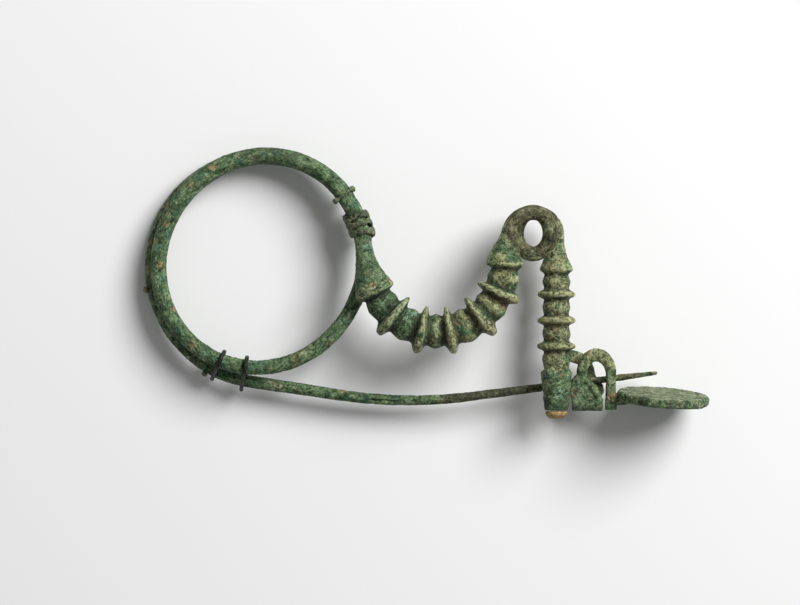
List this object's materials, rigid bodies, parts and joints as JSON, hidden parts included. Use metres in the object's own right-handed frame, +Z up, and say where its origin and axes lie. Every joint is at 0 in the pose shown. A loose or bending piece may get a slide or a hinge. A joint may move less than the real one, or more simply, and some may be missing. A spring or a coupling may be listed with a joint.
{
  "type": "fibula brooch",
  "caption": "Ancient bronze fibula with a double coiled spring ring, beaded bow, small loop, beaded leg, folded catch and disc foot, lying on its side.",
  "frame": {"origin": "middle of the outline seen from above, on the surface that the brooch lies on", "axes": "+X from the spring towards the disc foot, +Y up the leg towards the small loop, +Z up"},
  "size_m": [0.1508, 0.072, 0.0243],
  "materials": {
    "bronze_patina": "matt mottled green patina with tan and dark patches",
    "corroded_wire": "rough olive and grey-green corrosion",
    "dark_wire": "nearly black, slightly shiny",
    "tan_fill": "matt, earthy"
  },
  "bodies": {
    "root": {"fibula": "bronze_patina", "end_fill": "tan_fill", "coil_tie_upper": "corroded_wire", "coil_tie_wound": "corroded_wire", "coil_tie_left": "corroded_wire", "coil_tie_low": "corroded_wire", "coil_tie_dark_1": "dark_wire", "coil_tie_dark_2": "dark_wire"}
  },
  "joints": []
}
